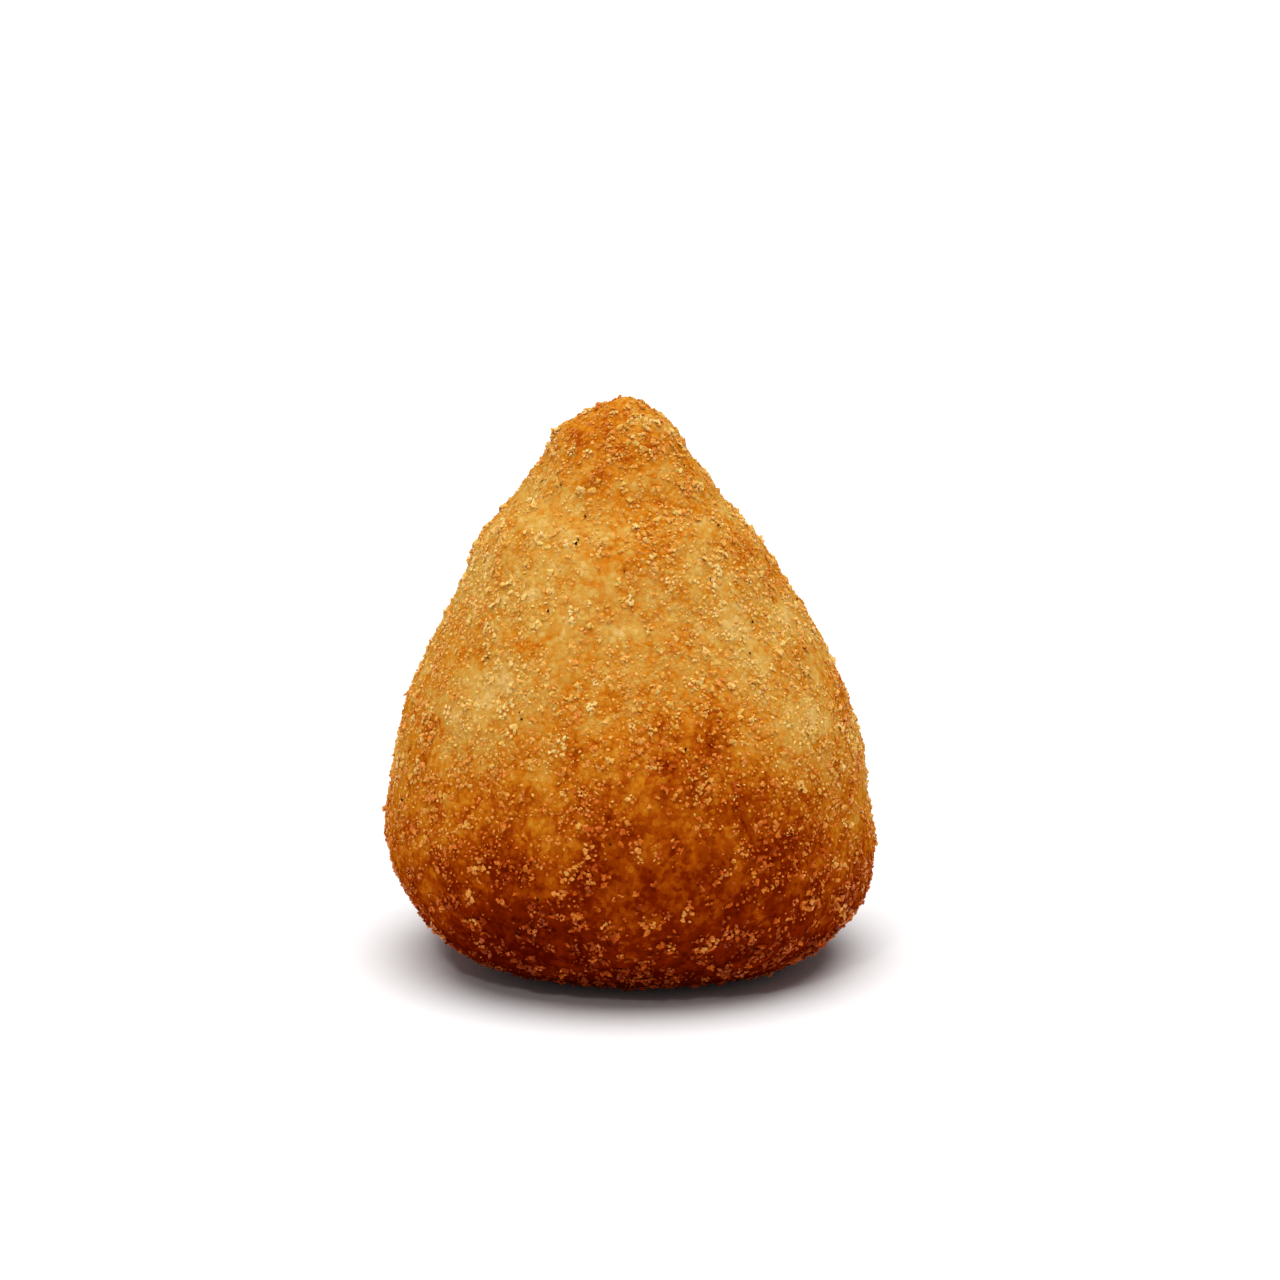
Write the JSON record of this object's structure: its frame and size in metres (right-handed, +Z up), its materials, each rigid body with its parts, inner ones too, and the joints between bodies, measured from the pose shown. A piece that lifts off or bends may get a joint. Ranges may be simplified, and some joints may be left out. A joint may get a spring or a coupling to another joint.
{
  "type": "cone-shaped fried rice ball",
  "caption": "Arancino: a pointed, teardrop-shaped ball of filled rice in a deep-fried breadcrumb crust, standing on a small flat foot",
  "frame": {"origin": "bottom centre of the bounding box, in the plane of the flat foot", "axes": "+Z up from the foot to the tip; -Y is the front, the side the picture shows; +X is to the right seen from the front"},
  "size_m": [0.0732, 0.0724, 0.0846],
  "materials": {
    "fried_crust": "fine breadcrumb crust, deep-fried golden brown, darker and redder towards the foot, with small oily glints"
  },
  "bodies": {
    "root": {"arancino": "fried_crust"}
  },
  "joints": []
}
